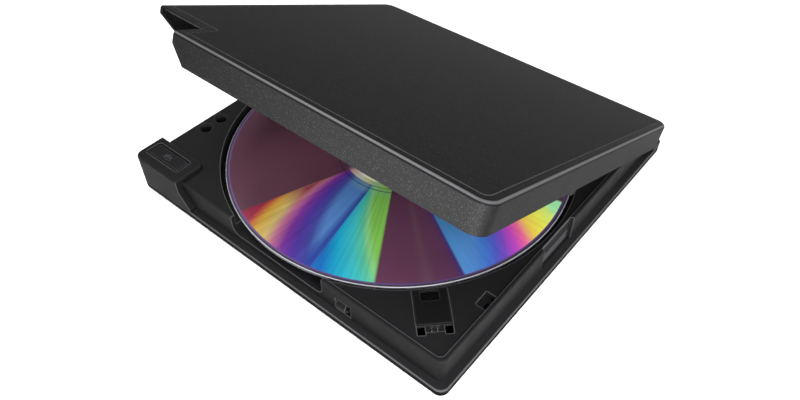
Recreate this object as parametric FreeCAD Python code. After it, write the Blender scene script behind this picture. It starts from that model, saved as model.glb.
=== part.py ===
import FreeCAD, Part
import math
import os

# Slim top-loading disc drive with its lid held open. Millimetres.
# X runs to the right along the front, Y to the hinge at the back, Z up.
# The origin is on the table, under the middle of the square base.

# Whole drive
case_margin = 5.0
lid_corner = 3.4
front_corner = 2.8
back_corner = 1.6
closed_height = 14.8
open_angle = 24.0
foot_height = 0.6

# Fits
running_gap = 0.05
press_gap = 0.02
part_gap = 0.10
moving_gap = 0.30

# Bottom cover
cover_floor = 1.0
cover_rim = 1.2
cover_chamfer = 0.4
cover_depth = 2.25
label_width = 72.0
label_length = 44.0
label_depth = 0.2

# Base frame
flange_height = 1.05
flange_slope = 0.9
ledge_width = 2.2
wall = 1.5
wall_top = 13.05
wall_corner = 2.5
wall_edge = 0.45
deck = 1.2
lip = 0.85
rear_wall_width = 2.8
side_dent_depth = 1.2
side_dent_length = 17.6
side_dent_y = -4.4
dent_backing = 2.1
back_post_length = 5.5
back_post_top = 5.3

# Disc and its pocket
disc_radius = 60.0
disc_hole = 7.5
disc_thickness = 1.2
disc_bottom = 10.3
stack_ring_radius = 17.0
stack_ring_width = 0.6
stack_ring_height = 0.2
spindle_y = -4.5
pocket_clearance = 1.5
pocket_floor = 1.0
pocket_floor_top = 8.8
pocket_wall = 1.0
spindle_opening = 17.0
pickup_opening_width = 26.0

# Finger recess in the front wall
finger_half = 19.7
finger_floor_top = 6.1
finger_floor = 1.0
finger_corner = 2.8
finger_depth = 4.8

# Block that holds the open button
block_width = 22.4
block_length = 12.0
block_wall = 1.2
block_corner = 2.2
block_edge = 0.6
ramp_top = 11.15
ramp_run = 4.85
ramp_foot = 4.5
ramp_inset = 0.8
button_left_margin = 2.3
button_right_margin = 3.9
button_front_margin = 3.7
button_back_margin = 2.6
button_gap = 0.25
button_corner = 0.8
button_bevel = 0.5
button_grip = 0.8
button_skin = 0.8
button_travel = 1.0
button_stem = 1.2
button_stem_inset = 10.2
wedge_tip = 3.2
symbol_depth = 0.15
symbol_width = 3.2
symbol_height = 1.9
symbol_bar = 0.6
spring_inset = 3.7
spring_radius = 1.5
spring_wire = 0.2
spring_turns = 5
spring_peg_length = 1.6
spring_seat = 8.8
spring_shelf = 1.0
spring_shelf_width = 7.6
spring_shelf_length = 8.4

# Latch
latch_left = 25.7
latch_width = 3.7
latch_travel = 1.5
window_bottom = 4.5
window_height = 4.9
hook_bottom = 6.2
hook_height = 2.5
hook_slope = 1.3
hook_reach = 0.6
hook_back = 0.4
catch_width = 1.1
catch_height = 0.55
catch_reach = 0.7
slider_inset = 1.1
slider_width = 1.6
slider_height = 1.0
slider_post = 1.8
slider_end = 4.6

# Lid
lid_rim = 1.2
lid_plate = 0.8
lid_edge = 1.3
skirt_bottom = 5.55
rear_skirt_bottom = 9.0
rear_slant_shift = 0.4
notch_gap = 0.3
notch_corner = 2.5
slant_top = 10.9
slant_run = 5.5
side_slant_start = 0.9
panel_inset = 2.7
panel_proud = 0.15
panel_thickness = 0.4
panel_corner = 1.2
panel_chamfer = 0.12
liner = 0.5
liner_end_gap = 8.6
liner_skirt_bottom = 8.2
tab_y = -12.2
tab_length = 2.6
tab_drop = 1.55
port_notch_top = 11.5

# Hinge
hinge_inset = 5.9
hinge_z = 7.9
pin_radius = 1.2
bush_radius = 1.8
hinge_boss = 2.6
hinge_boss_length = 2.0
lid_boss = 2.2
lid_boss_length = 0.8
pin_inner_reach = 0.3
pin_seat = 0.6

# Corner plate and lid switch, set at 45 degrees on the pickup's line
plate_gap = 0.4
plate_length = 12.1
plate_low = -2.2
plate_width = 10.2
plate_raised = 0.4
plate_thickness = 0.8
plate_hole_inset = 0.7
plate_hole_length = 3.4
plate_hole_side = 2.2
plate_hole_width = 5.4
groove_width = 2.4
groove_depth = 0.6
groove_slot = 2.3
groove_slot_reach = 3.3
contact_radius = 0.3
contact_width = 0.5
contact_height = 0.4
contact_reach = 2.0
contact_pitch = 1.6
switch_margin = 0.7
switch_height = 2.0
plunger_radius = 1.1
plunger_travel = 0.8
plunger_top = 12.4
plunger_length = 2.2
post_radius = 1.0
guide_hole_inset = 2.0
guide_hole_start = 27.5
guide_hole_width = 3.6
guide_hole_length = 5.6
guide_play = 0.8
guide_reach = 0.6

# Screws that join frame and cover
screw_radius = 1.0
screw_head = 1.9
screw_head_height = 0.7
case_screw_length = 8.0
boss_radius = 2.5
front_screw_side = 7.5
front_screw_start = 19.0
back_screw_inset = 11.5
deck_screw_side = 6.2
deck_screw_start = 13.9
deck_screw_pitch = 7.0
deck_sink = 2.5
deck_bore = 1.8
deck_sink_depth = 0.7
deck_screw_seat = 4.2
deck_screw_head = 1.6
cover_post_height = 1.2

# Rubber feet
foot_radius = 4.0
foot_recess = 0.4
foot_side_inset = 20.5
foot_end_inset = 9.5
foot_round = 0.25

# Traverse: u runs from the spindle to the near corner, v to its left
traverse_turn = -45.0
chassis_bottom = 6.6
chassis_thickness = 0.8
chassis_back = ((-14.0, 28.0), (-20.0, 22.0), (-20.0, -20.0))
chassis_side = 21.0
chassis_bar = 3.4
chassis_far = ((-12.0, -21.0), (0.0, -9.0), (0.0, 16.0), (-8.0, 25.5))
chassis_motor_hole = 12.5
chassis_window_start = 12.0
chassis_window_half = 12.5
back_mounts = ((-15.0, -14.5), (-15.0, 22.0))
side_mounts = (-27.0, 31.0)
side_mount_lead = 6.0
mount_ear = 4.0
mount_ear_flare = 2.0
grommet_radius = 3.6
grommet_neck = 2.8
grommet_flange = 0.4
mount_boss = 1.9
mount_screw = 0.8
mount_screw_head = 3.0
mount_screw_head_height = 0.8
mount_screw_depth = 2.1

# Spindle motor
motor_plate_bottom = 2.0
motor_plate = 0.6
motor_plate_radius = 12.8
motor_ear_radius = 18.5
motor_ear_edge = 2.0
pillar_radius = 1.5
pillar_distance = 16.5
pillar_angles = (150.0, 100.0, -100.0, -150.0)
rotor_radius = 11.5
rotor_wall = 0.6
rotor_bottom = 2.9
rotor_top = 5.6
rotor_boss = 6.0
shaft_radius = 0.9
sleeve_radius = 2.6
stator_radius = 10.7
stator_bottom = 3.1
stator_height = 1.5
stator_core = 5.0
stator_teeth = 9
tooth_width = 1.6
tooth_tip = 4.4
tooth_tip_depth = 0.9

# Turntable
turntable_radius = 15.0
turntable_height = 1.3
mat_height = 0.2
mat_inner = 9.5
mat_outer = 14.5
hub_gap = 0.1
hub_top = 12.4
hub_cone = 0.8
claw_count = 3
claw_width = 2.4
claw_reach = 0.35
claw_height = 0.5

# Pickup
rod_z = 4.6
main_rod_radius = 1.5
main_rod_v = 19.0
main_rod_start = 10.0
plain_rod_radius = 1.25
plain_rod_v = -16.0
plain_rod_start = 10.0
rod_holder = 2.5
rod_holder_side = 2.4
rod_holder_drop = 3.8
read_margin = 2.0
rod_end_gap = 0.4
sled_start = 17.0
sled_length = 14.0
sled_half = 12.6
sled_bottom = 2.2
sled_top = 6.2
sled_wall = 1.0
sled_corner = 2.0
bearing_start = 20.0
bearing_length = 8.0
bearing_side = 2.6
bearing_bottom = 2.6
guide_length = 3.0
yoke_length = 11.8
yoke_half = 7.0
yoke_sheet = 0.6
yoke_base = 0.2
yoke_top = 8.2
yoke_start = 18.4
holder_length = 9.0
holder_half = 5.0
holder_height = 1.5
holder_bottom = 6.85
lens_pitch = 4.2
lens_radius = 1.7
lens_crown = 0.35
lens_flange = 0.5

# Sled drive
screw_v = 25.0
screw_z = 4.2
lead_radius = 1.2
lead_start = 7.0
stepper_length = 15.0
stepper_radius = 4.0
stepper_height = 4.4
stepper_bracket = 0.8
bracket_side = 3.4
lead_bearing = 1.0
lead_bearing_side = 1.9
nut_start = 19.5
nut_length = 4.5
nut_side = 2.1

# Main board
board_bottom = 3.0
board_thickness = 1.0
board_side_gap = 1.8
board_front_gap = 5.6
board_back_gap = 4.8
board_right_gap = 14.8
board_arm = 23.0
board_inner = ((-30.0, -10.0), (-30.0, 5.0), (-8.0, 30.0), (15.0, 36.0))
board_notch_width = 12.0
board_notch_length = 9.0
board_screw_inset = 4.0
board_screw_x = -12.0
board_screw_hole = 1.2
board_post = 2.2
side_chips = ((16.0, -38.0, 14.0, 14.0, 1.0), (13.0, -62.0, 9.0, 9.0, 0.9),
              (11.0, -20.0, 6.0, 5.0, 1.0), (23.0, -22.0, 4.0, 3.0, 1.2))
back_chips = ((-20.0, -20.0, 10.0, 6.0, 1.0), (4.0, -12.0, 12.0, 8.0, 1.0), (28.0, -11.0, 7.0, 7.0, 0.9))

# Socket at the back
port_x = -33.5
port_width = 12.4
port_height = 2.9
port_length = 9.5
port_shell = 0.3
port_tongue = 0.7
port_gap = 0.3
port_side = 2.0

# Motor ribbon
ribbon_width = 8.0
ribbon = 0.2
ribbon_start = -11.5
ribbon_bend = -19.5
ribbon_rise = -25.0
ribbon_end = -35.0

# Worked out from the sizes above
pocket_radius = disc_radius + pocket_clearance
half = pocket_radius + case_margin
cover_top = foot_height + cover_depth
floor_top = foot_height + cover_floor
ledge_top = cover_top + flange_height
wall_out = half - ledge_width
wall_in = wall_out - wall
low_deck_top = wall_top - lip
high_ceiling = wall_top - deck
low_ceiling = low_deck_top - deck
pocket_floor_bottom = pocket_floor_top - pocket_floor
block_right = -half + block_width
block_back = -half + block_length
block_in_left = -half + block_wall
block_in_front = -half + block_wall
block_in_right = block_right - block_wall
block_in_back = block_back - block_wall
block_ceiling = closed_height - block_wall
shell_top = closed_height - panel_proud
plate_bottom = shell_top - lid_plate
liner_bottom = plate_bottom - liner
lid_in = half - lid_rim
notch_x = block_right + notch_gap
notch_y = block_back + notch_gap
hinge_y = half - hinge_inset
rear_slant_start = hinge_y + rear_slant_shift
liner_end = hinge_y - liner_end_gap
slider_y = -wall_in + slider_inset
slider_bottom = floor_top + part_gap
button_left = -half + button_left_margin
button_right = block_right - button_right_margin
button_front = -half + button_front_margin
button_back = block_back - button_back_margin
button_stem_x = button_left + button_stem_inset
spring_x = button_left + spring_inset
wedge_rate = latch_travel / button_travel
button_y = (button_front + button_back) / 2
grip_top = block_ceiling - part_gap
cap_ceiling = closed_height - button_skin - button_bevel
plunger_bottom = plunger_top - plunger_length
post_bottom = plunger_top - plunger_travel + part_gap
window_left = latch_left - part_gap * 4
window_right = latch_left + latch_width + latch_travel + moving_gap
guide_hole_x = wall_in - guide_hole_inset
guide_hole_y = -half + guide_hole_start
case_screws = ((-half + front_screw_side, -half + front_screw_start),
               (half - front_screw_side, -half + front_screw_start),
               (-half + back_screw_inset, half - back_screw_inset),
               (half - back_screw_inset, half - back_screw_inset))
deck_screw_x = -half + deck_screw_side
deck_screw_y = block_back + deck_screw_start
deck_screws = ((deck_screw_x, deck_screw_y), (deck_screw_x, deck_screw_y + deck_screw_pitch))
foot_x = half - foot_side_inset
foot_y = half - foot_end_inset
turn = math.radians(traverse_turn)
plate_start = pocket_radius + plate_gap
plate_end = plate_start + plate_length
plate_high = plate_low + plate_width
plate_hole_u = plate_start + plate_hole_inset
plate_hole_v = plate_low + plate_hole_side
chassis_top = chassis_bottom + chassis_thickness
mount_bottom = chassis_bottom - grommet_flange
disc_top = disc_bottom + disc_thickness
board_top = board_bottom + board_thickness
turntable_bottom = disc_bottom - mat_height - turntable_height
sled_travel = disc_radius - read_margin - sled_start - sled_length / 2
travel_room = sled_travel + rod_end_gap
main_rod_end = bearing_start + bearing_length + travel_room + rod_holder
plain_rod_end = bearing_start + guide_length + travel_room + rod_holder
lead_end = nut_start + nut_length + travel_room + lead_bearing
chassis_window_end = yoke_start + yoke_length + travel_room
pickup_opening_end = chassis_window_end + rod_end_gap
chassis_end = chassis_window_end + chassis_bar
side_mount_u = sled_travel + side_mount_lead
grommets = back_mounts + tuple((side_mount_u, v) for v in side_mounts)
board_left = -wall_in + board_side_gap
board_front = deck_screw_y + deck_screw_pitch + board_front_gap
board_right = wall_in - board_right_gap
board_back = wall_in - board_back_gap
board_step_x = board_left + board_notch_width
board_step_y = board_back - board_notch_length
board_outline = ((board_left, board_front), (board_left + board_arm, board_front)) + board_inner + (
    (board_right, board_inner[-1][1]), (board_right, board_back), (board_step_x, board_back),
    (board_step_x, board_step_y), (board_left, board_step_y))
board_screws = ((board_left + board_screw_inset, board_front + board_screw_inset),
                (board_left + board_screw_inset, board_step_y - board_screw_inset),
                (board_right - board_screw_inset, board_inner[-1][1] + board_screw_inset),
                (board_screw_x, board_back - board_screw_inset))


def point(x, y, z=0.0):
    return FreeCAD.Vector(x, y, z)


def slab(x0, x1, y0, y1, z0, z1):
    return Part.makeBox(x1 - x0, y1 - y0, z1 - z0, point(x0, y0, z0))


def square(side, z0, z1):
    return slab(-side, side, -side, side, z0, z1)


def drum(x, y, z0, z1, radius):
    return Part.makeCylinder(radius, z1 - z0, point(x, y, z0))


def ring(x, y, z0, z1, outer, inner):
    return drum(x, y, z0, z1, outer).cut(drum(x, y, z0, z1, inner))


def cross_pin(x0, x1, y, z, radius):
    return Part.makeCylinder(radius, x1 - x0, point(x0, y, z), point(1, 0, 0))


def outline_plate(outline, z0, z1):
    corners = [point(x, y, z0) for x, y in outline]
    face = Part.Face(Part.makePolygon(corners + corners[:1]))
    return face.extrude(point(0, 0, z1 - z0))


def side_plate(outline, x0, x1):
    corners = [point(x0, y, z) for y, z in outline]
    face = Part.Face(Part.makePolygon(corners + corners[:1]))
    return face.extrude(point(x1 - x0, 0, 0))


def front_plate(outline, y0, y1):
    corners = [point(x, y0, z) for x, z in outline]
    face = Part.Face(Part.makePolygon(corners + corners[:1]))
    return face.extrude(point(0, y1 - y0, 0))


def is_upright(edge):
    box = edge.BoundBox
    return box.XLength + box.YLength < 0.001


def lies_at(edge, z):
    box = edge.BoundBox
    return box.ZLength < 0.001 and abs(box.ZMin - z) < 0.001


def round_upright(shape, radius):
    return shape.makeFillet(radius, [edge for edge in shape.Edges if is_upright(edge)])


def round_at(shape, z, radius):
    return shape.makeFillet(radius, [edge for edge in shape.Edges if lies_at(edge, z)])


def bevel_at(shape, z, size):
    return shape.makeChamfer(size, [edge for edge in shape.Edges if lies_at(edge, z)])


def rounded_square(side, z0, z1, radius):
    return round_upright(square(side, z0, z1), radius)


def traverse(shape):
    shape.rotate(point(0, 0), point(0, 0, 1), traverse_turn)
    shape.translate(point(0, spindle_y))
    return shape


def traverse_point(u, v):
    x = u * math.cos(turn) - v * math.sin(turn)
    y = u * math.sin(turn) + v * math.cos(turn) + spindle_y
    return x, y


def lifted(shape):
    shape.rotate(point(0, hinge_y, hinge_z), point(1, 0, 0), -open_angle)
    return shape


def whole(shapes):
    return shapes[0].fuse(shapes[1:]).removeSplitter()


def write(name, shape):
    solids = shape.Solids
    for solid in solids:
        if not solid.isValid() or solid.Volume <= 0:
            raise ValueError(name + " is not a sound solid")
    body = solids[0] if len(solids) == 1 else Part.makeCompound(solids)
    body.exportStep("parts/" + name + ".step")
    print(name, len(solids), round(sum(solid.Volume for solid in solids), 2))


# Bottom cover and what fastens it
def bottom_cover():
    shell = bevel_at(case_block(0, foot_height, cover_top), foot_height, cover_chamfer)
    shell = shell.cut(case_block(cover_rim, floor_top, cover_top))
    posts = [drum(x, y, floor_top, floor_top + cover_post_height, board_post) for x, y in deck_screws]
    posts += [drum(x, y, floor_top, board_bottom, board_post) for x, y in board_screws]
    shell = whole([shell] + posts)
    holes = [drum(x, y, foot_height, cover_top, screw_radius + press_gap) for x, y in case_screws]
    holes += [head_seat(x, y) for x, y in case_screws]
    holes += [drum(x, y, floor_top, board_bottom, screw_radius - press_gap) for x, y in board_screws]
    holes += [drum(x, y, floor_top, board_bottom, screw_radius) for x, y in deck_screws]
    holes += [drum(x, y, foot_height, foot_height + foot_recess, foot_radius + press_gap)
              for x, y in foot_places()]
    label = slab(-label_width / 2, label_width / 2, -label_length / 2, label_length / 2,
                 foot_height, foot_height + label_depth)
    return shell.cut(holes + [round_upright(label, wall)])


def head_seat(x, y):
    return Part.makeCone(screw_head + press_gap, screw_radius, screw_head_height,
                         point(x, y, foot_height))


def foot_places():
    return [(x, y) for x in (-foot_x, foot_x) for y in (-foot_y, foot_y)]


def rubber_feet():
    top = foot_height + foot_recess
    return Part.makeCompound([round_at(drum(x, y, 0, top, foot_radius), 0, foot_round)
                              for x, y in foot_places()])


def case_screw(x, y):
    head = Part.makeCone(screw_head, screw_radius, screw_head_height, point(x, y, foot_height))
    shank = drum(x, y, foot_height, foot_height + case_screw_length, screw_radius)
    return whole([head, shank]).cut(drum(x, y, foot_height, foot_height + label_depth, screw_radius / 2))


def deck_screw(x, y):
    head = drum(x, y, deck_screw_seat, deck_screw_seat + screw_head_height, deck_screw_head)
    shank = drum(x, y, floor_top, deck_screw_seat, screw_radius)
    slot = drum(x, y, deck_screw_seat + label_depth, deck_screw_seat + screw_head_height, screw_radius / 2)
    return whole([head, shank]).cut(slot)


# Base frame
def ramp_front():
    low_x = block_right - ramp_inset
    outline = ((block_right - wall, cover_top), (block_right - wall, ramp_top), (low_x, ramp_top),
               (low_x + ramp_run, ramp_foot), (low_x + ramp_run, cover_top))
    return front_plate(outline, -half, -wall_out)


def ramp_side():
    low_y = block_back
    outline = ((block_back - wall, cover_top), (block_back - wall, ramp_top), (low_y, ramp_top),
               (low_y + ramp_run, ramp_foot), (low_y + ramp_run, cover_top))
    return side_plate(outline, -half, -wall_out)


def button_block():
    block = slab(-half, block_right, -half, block_back, cover_top, closed_height)
    block = block.makeFillet(front_corner, edges_near(block, -half, -half))
    block = block.makeFillet(block_corner, edges_near(block, block_right, block_back))
    return round_at(block, closed_height, block_edge)


def edges_near(shape, x, y):
    found = []
    for edge in shape.Edges:
        box = edge.BoundBox
        if is_upright(edge) and abs(box.XMin - x) < 0.001 and abs(box.YMin - y) < 0.001:
            found.append(edge)
    return found


def case_block(inset, z0, z1):
    side = half - inset
    block = square(side, z0, z1)
    for x in (-side, side):
        block = block.makeFillet(front_corner - inset, edges_near(block, x, -side))
        block = block.makeFillet(back_corner - inset, edges_near(block, x, side))
    return block


def outline_at(shape, z):
    for face in shape.Faces:
        if lies_at(face, z):
            return face.OuterWire


def back_posts():
    posts = []
    for x0, x1 in ((-half, -wall_out), (wall_out, half)):
        post = slab(x0, x1, half - back_post_length, half, cover_top, back_post_top)
        posts.append(post.common(case_block(0, cover_top, back_post_top)))
    return posts


def frame_outside():
    edge_top = ledge_top - flange_slope
    slope = Part.makeLoft([outline_at(case_block(0, cover_top, edge_top), edge_top),
                           outline_at(rounded_square(wall_out, edge_top, ledge_top, wall_corner), ledge_top)],
                          True, True)
    walls = rounded_square(wall_out, cover_top, wall_top, wall_corner)
    walls = round_at(walls, wall_top, wall_edge)
    return whole([case_block(0, cover_top, edge_top), slope, walls, button_block(), ramp_front(),
                  ramp_side()] + back_posts())


def frame_cavity():
    inner_corner = wall_corner - wall / 2
    left = round_upright(slab(-wall_in, wall_in, -wall_in, wall_in, cover_top, high_ceiling), inner_corner)
    left = left.common(slab(-half, 0, -half, half, 0, closed_height))
    right = round_upright(slab(-wall_in, wall_in, -wall_in, wall_in, cover_top, low_ceiling), inner_corner)
    low_deck = round_upright(slab(-wall_in, wall_in, -wall_in, wall_in, low_deck_top, closed_height),
                             inner_corner)
    low_deck = low_deck.common(slab(0, half, -half, half, 0, closed_height))
    rear_start = wall_out - rear_wall_width
    rear = slab(-half, half, rear_start, half, low_deck_top, closed_height)
    rear_ceiling = slab(-wall_in, 0, rear_start - deck, half, low_ceiling, high_ceiling)
    block_room = slab(block_in_left, block_in_right, block_in_front, block_in_back, ledge_top, block_ceiling)
    left = left.cut(rear_ceiling)
    return [left, right, low_deck, rear, block_room]


def pocket_cup():
    cup = drum(0, spindle_y, pocket_floor_bottom, low_deck_top, pocket_radius + pocket_wall)
    dent_x = wall_out - side_dent_depth
    backing = slab(dent_x - dent_backing, dent_x, side_dent_y - side_dent_length / 2 - wall,
                   side_dent_y + side_dent_length / 2 + wall, pocket_floor_bottom, low_deck_top)
    well = slab(-finger_half - finger_floor, finger_half + finger_floor, -wall_out,
                -wall_out + finger_depth + finger_floor, finger_floor_top - finger_floor, pocket_floor_top)
    inside = rounded_square(wall_in + wall / 2, cover_top, wall_top, wall_corner - wall / 2)
    return whole([cup, backing, well]).common(inside)


def pocket_cuts():
    opening = drum(0, spindle_y, 0, pocket_floor_top, spindle_opening)
    half_width = pickup_opening_width / 2
    slot = traverse(slab(0, pickup_opening_end, -half_width, half_width, pocket_floor_bottom,
                         pocket_floor_top))
    well = slab(-finger_half, finger_half, -half, -wall_out + finger_depth, finger_floor_top,
                closed_height)
    low_corners = [edge for edge in well.Edges
                   if edge.BoundBox.YLength > 1 and lies_at(edge, finger_floor_top)]
    well = well.makeFillet(finger_corner, low_corners)
    return [drum(0, spindle_y, pocket_floor_top, closed_height, pocket_radius), opening, slot, well]


def side_dent():
    dent = slab(wall_out - side_dent_depth, half, side_dent_y - side_dent_length / 2,
                side_dent_y + side_dent_length / 2, ledge_top, closed_height)
    edges = [edge for edge in dent.Edges if is_upright(edge) and edge.BoundBox.XMax < wall_out]
    return dent.makeFillet(side_dent_depth * 0.8, edges)


def frame_bosses():
    bosses = [drum(x, y, floor_top, high_ceiling, boss_radius) for x, y in case_screws]
    bosses += [drum(x, y, floor_top + cover_post_height, high_ceiling, deck_sink + press_gap * 5)
               for x, y in deck_screws]
    bosses += [cross_pin(wall_in - hinge_boss_length, wall_in, hinge_y, hinge_z, hinge_boss),
               cross_pin(-wall_in, -wall_in + hinge_boss_length, hinge_y, hinge_z, hinge_boss)]
    for u, v in grommets:
        x, y = traverse_point(u, v)
        bosses.append(drum(x, y, mount_bottom, pocket_floor_bottom, mount_boss))
    bosses.append(slab(-half + block_wall, -half + block_wall + spring_shelf_width, -half + block_wall,
                       -half + block_wall + spring_shelf_length, spring_seat - spring_shelf, spring_seat))
    return bosses


def frame_holes():
    holes = [drum(x, y, floor_top, foot_height + case_screw_length + part_gap, screw_radius + press_gap)
             for x, y in case_screws]
    for x, y in deck_screws:
        holes.append(drum(x, y, deck_screw_seat, wall_top, deck_bore))
        holes.append(drum(x, y, floor_top, deck_screw_seat, screw_radius + press_gap))
        sink = Part.makeCone(deck_bore, deck_sink, deck_sink_depth, point(x, y, wall_top - deck_sink_depth))
        holes.append(sink)
    bore_start = wall_in - hinge_boss_length - pin_inner_reach
    holes.append(cross_pin(bore_start, half, hinge_y, hinge_z, bush_radius + press_gap))
    holes.append(cross_pin(-half, -bore_start, hinge_y, hinge_z, bush_radius + press_gap))
    for u, v in grommets:
        x, y = traverse_point(u, v)
        holes.append(drum(x, y, mount_bottom, mount_bottom + mount_screw_depth, mount_screw))
    return holes


def front_openings():
    window = slab(window_left, window_right, -half, -wall_in, window_bottom, window_bottom + window_height)
    port = slab(port_x - port_width / 2 - port_gap, port_x + port_width / 2 + port_gap, wall_in - wall, half,
                board_top - press_gap, board_top + port_height + port_gap)
    button = slab(button_left - button_gap, button_right + button_gap, button_front - button_gap,
                  button_back + button_gap, block_ceiling - 1, closed_height)
    guide = slab(guide_hole_x - guide_hole_width / 2, guide_hole_x + guide_hole_width / 2,
                 guide_hole_y - guide_hole_length / 2, guide_hole_y + guide_hole_length / 2,
                 low_ceiling - 1, wall_top).common(square(wall_in, 0, closed_height))
    latch_room = slab(window_left, window_right, -wall_in, slider_y + slider_width / 2 + moving_gap,
                      ledge_top, hook_bottom + hook_height + part_gap)
    return [window, port, round_upright(button, button_corner + button_gap), guide, latch_room]


def corner_cuts():
    seat_bottom = low_deck_top + plate_raised - plate_thickness
    seat = slab(plate_start - part_gap, plate_end + part_gap, plate_low - part_gap, plate_high + part_gap,
                seat_bottom, wall_top)
    groove = slab(plate_end, plate_end + groove_width, plate_low, plate_high,
                  low_deck_top - groove_depth, wall_top)
    slots = [slab(plate_end, plate_end + groove_slot_reach, low_v, low_v + groove_slot,
                  low_ceiling - 1, wall_top)
             for low_v in (plate_low, plate_high - groove_slot)]
    margin = switch_margin + part_gap
    switch = slab(plate_hole_u - margin, plate_hole_u + plate_hole_length + margin,
                  plate_hole_v - margin, plate_hole_v + plate_hole_width + margin,
                  low_ceiling - switch_height, seat_bottom)
    pins = [drum(u, v, low_deck_top - deck, low_deck_top, contact_radius + press_gap)
            for u, v in contact_places()]
    return [traverse(cut) for cut in [seat, groove, switch] + slots + pins]


def contact_places():
    middle = (plate_low + plate_high) / 2
    u = plate_end + contact_width
    return [(u, middle - contact_pitch / 2), (u, middle + contact_pitch / 2)]


def base_frame():
    frame = frame_outside().cut(frame_cavity())
    frame = whole([frame, pocket_cup()] + frame_bosses())
    frame = frame.cut(pocket_cuts() + frame_holes() + front_openings() + corner_cuts() + [side_dent()])
    return max(frame.Solids, key=lambda solid: solid.Volume)


# Open button with its return spring and the latch that it drives
def open_button():
    cap = slab(button_left, button_right, button_front, button_back, block_ceiling - 1, closed_height)
    cap = bevel_at(round_upright(cap, button_corner), closed_height, button_bevel)
    grip = slab(button_left + button_gap, button_right + button_grip, button_front - button_grip,
                button_back + button_grip, grip_top - button_skin, grip_top)
    hollow = slab(button_left + button_skin, button_right - button_skin, button_front + button_skin,
                  button_back - button_skin, 0, cap_ceiling)
    reach = slider_post * wedge_rate
    stem = front_plate(((button_stem_x - button_stem, wedge_tip), (button_stem_x, wedge_tip),
                        (button_stem_x + reach, wedge_tip + slider_post),
                        (button_stem_x + reach, cap_ceiling), (button_stem_x - button_stem, cap_ceiling)),
                       slider_y - slider_width / 2, slider_y + slider_width / 2)
    spring_peg = drum(spring_x, button_y, cap_ceiling - spring_peg_length, cap_ceiling,
                      spring_radius - spring_wire - running_gap)
    body = whole([cap, round_upright(grip, button_corner)]).cut(hollow)
    return whole([body, stem, spring_peg]).cut(open_symbol())


def open_symbol():
    middle_x = (button_left + button_right) / 2
    low_y = button_y - symbol_height / 2
    half_width = symbol_width / 2
    z = closed_height - symbol_depth
    triangle = outline_plate(((middle_x - half_width, low_y + symbol_bar * 2),
                              (middle_x + half_width, low_y + symbol_bar * 2),
                              (middle_x, low_y + symbol_height)), z, closed_height)
    bar = slab(middle_x - half_width, middle_x + half_width, low_y, low_y + symbol_bar, z, closed_height)
    return [triangle, bar]


def button_spring():
    height = cap_ceiling - spring_seat - 2 * spring_wire - 2 * press_gap
    pitch = height / spring_turns
    print("button spring, gap between turns", round(pitch - 2 * spring_wire, 2))
    path = Part.makeHelix(pitch, height, spring_radius)
    section = Part.Wire(Part.makeCircle(spring_wire, point(spring_radius, 0), point(0, 1, 0)))
    coil = Part.Wire(path).makePipeShell([section], True, True)
    coil.translate(point(spring_x, button_y, spring_seat + spring_wire + press_gap))
    return coil


def latch_slider():
    low_y = slider_y - slider_width / 2
    high_y = slider_y + slider_width / 2
    start = button_stem_x + part_gap + (slider_bottom - wedge_tip) * wedge_rate
    top = wedge_tip + slider_post
    end_block = front_plate(((start, slider_bottom), (button_stem_x + slider_end, slider_bottom),
                             (button_stem_x + slider_end, top),
                             (button_stem_x + part_gap + slider_post * wedge_rate, top)), low_y, high_y)
    bar = slab(button_stem_x + button_stem, latch_left + latch_width, low_y, high_y, slider_bottom,
               slider_bottom + slider_height)
    hook_top = hook_bottom + hook_height
    arm = slab(latch_left, latch_left + latch_width, low_y, high_y, slider_bottom, hook_top)
    block = slab(latch_left, latch_left + latch_width, -wall_out + hook_back, low_y,
                 window_bottom + hook_reach, hook_top)
    nose = side_plate(((-wall_out + hook_back, hook_bottom), (-wall_out - hook_reach, hook_bottom),
                       (-wall_out - hook_reach, hook_top - hook_slope), (-wall_out + hook_back, hook_top)),
                      latch_left, latch_left + latch_width)
    return whole([end_block, bar, arm, block, nose])


# Lid, drawn closed and then lifted
def lid_shell():
    outer = round_at(rounded_square(half, skirt_bottom, shell_top, lid_corner), shell_top, lid_edge)
    inner = rounded_square(lid_in, skirt_bottom, plate_bottom, lid_corner - lid_rim)
    shell = outer.cut(inner)
    bosses = [cross_pin(lid_in - lid_boss_length, lid_in, hinge_y, hinge_z, lid_boss),
              cross_pin(-lid_in, -lid_in + lid_boss_length, hinge_y, hinge_z, lid_boss)]
    tab = slab(lid_in, lid_in + lid_rim * 0.8, tab_y - tab_length / 2, tab_y + tab_length / 2,
               skirt_bottom - tab_drop, skirt_bottom + 1)
    catch = slab(latch_left + part_gap, latch_left + part_gap + catch_width, -lid_in,
                 -lid_in + catch_reach, skirt_bottom, skirt_bottom + catch_height)
    shell = whole([shell, tab, catch] + bosses)
    cuts = notch_cuts(0) + [panel_solid(press_gap)] + rear_cuts() + pin_holes()
    return shell.cut(cuts)


def notch_cuts(extra):
    x = notch_x + extra
    y = notch_y + extra
    corner = slab(-half - 1, x, -half - 1, y, 0, closed_height + 1)
    corner = corner.makeFillet(notch_corner, edges_near(corner, x, y))
    front = front_plate(((x - wall, 0), (x + slant_run, 0), (x + slant_run, skirt_bottom),
                         (x, slant_top), (x - wall, slant_top)), -half - 1, -half + lid_corner)
    start = y + side_slant_start
    top = slant_top + side_slant_start
    side = side_plate(((y - wall, 0), (start + slant_run, 0), (start + slant_run, skirt_bottom),
                       (start, slant_top), (y, top), (y - wall, top)), -half - 1, -half + lid_corner)
    return [corner, front, side]


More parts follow.
